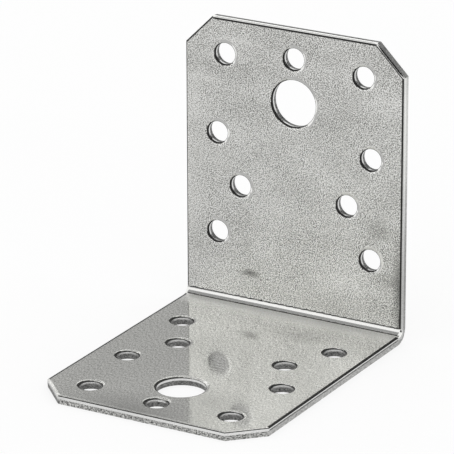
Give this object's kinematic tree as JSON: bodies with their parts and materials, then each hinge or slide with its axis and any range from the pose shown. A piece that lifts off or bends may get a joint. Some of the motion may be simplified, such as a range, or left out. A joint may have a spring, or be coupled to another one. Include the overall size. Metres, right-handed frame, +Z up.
{
  "type": "corner brace bracket",
  "caption": "Folded sheet-steel corner bracket: two equal legs at a right angle, each punched with a bolt hole and nail holes, for fastening two timbers or panels together.",
  "frame": {"origin": "centre of the object's box, on the plane of the foot's underside", "axes": "+X across the width of both legs, +Y from the foot's free end to the outside face of the upright leg, +Z up the upright leg"},
  "size_m": [0.0564, 0.07, 0.07],
  "materials": {
    "galvanised_steel": "hot-dip zinc coat on both faces, dull grey with a fine speckled grain; bare sheared edges"
  },
  "bodies": {
    "root": {"bracket": "galvanised_steel"}
  },
  "joints": []
}
